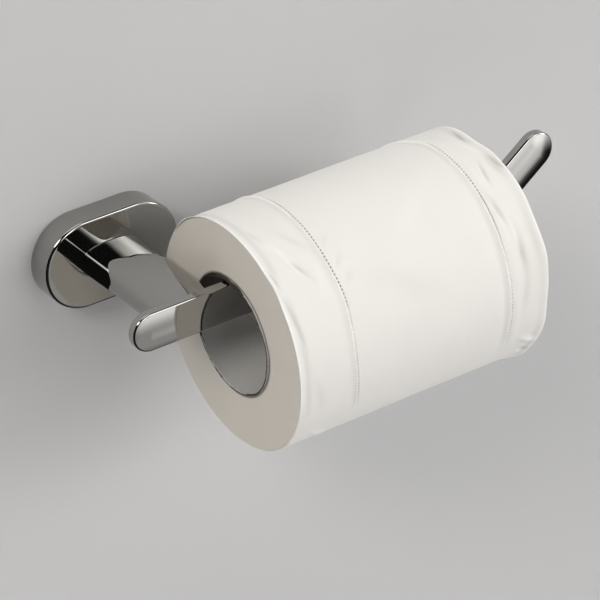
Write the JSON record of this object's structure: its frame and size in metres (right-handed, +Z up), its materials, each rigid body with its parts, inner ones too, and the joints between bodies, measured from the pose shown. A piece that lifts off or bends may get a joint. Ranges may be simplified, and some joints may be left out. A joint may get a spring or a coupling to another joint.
{
  "type": "toilet paper holder",
  "caption": "Wall-mounted open-ended toilet paper holder: a flat bar with an upturned end on an oval post and a stadium base, with a roll of paper on it.",
  "frame": {"origin": "centre of the wall bracket's flat back face, on the wall's surface", "axes": "+Y into the wall, +X along the bar to its free end, +Z up; the holder stands out from the wall towards -Y"},
  "size_m": [0.1887, 0.1388, 0.09],
  "materials": {
    "polished_metal": "mirror-polished dark chrome, a little warm",
    "plated_steel": "zinc plated, satin",
    "dark_steel": "blackened steel",
    "anchor_nylon": "moulded nylon",
    "cardboard": "grey board, spiral wound",
    "tissue_paper": "soft white tissue, two embossed lines"
  },
  "bodies": {
    "holder": {"wall_bracket": "plated_steel", "wall_screw_left": "plated_steel", "wall_screw_right": "plated_steel", "wall_anchor_left": "anchor_nylon", "wall_anchor_right": "anchor_nylon", "base_cover": "polished_metal", "clamp_plate": "plated_steel", "lock_washer": "dark_steel", "tie_bolt": "dark_steel", "post": "polished_metal", "bar_plug": "plated_steel", "roll_bar": "polished_metal"},
    "grub_screw": {"set_screw": "dark_steel"},
    "roll": {"core_tube": "cardboard", "paper_roll": "tissue_paper"}
  },
  "joints": [
    {"name": "roll_spin", "type": "hinge", "parent": "holder", "child": "roll", "pos_m": [0.0694, -0.0658, -0.01316], "axis": [1, 0, 0], "continuous": true},
    {"name": "set_screw_travel", "type": "slide", "parent": "holder", "child": "grub_screw", "axis": [0, 0, -1], "range_m": [0, 0.003]}
  ]
}
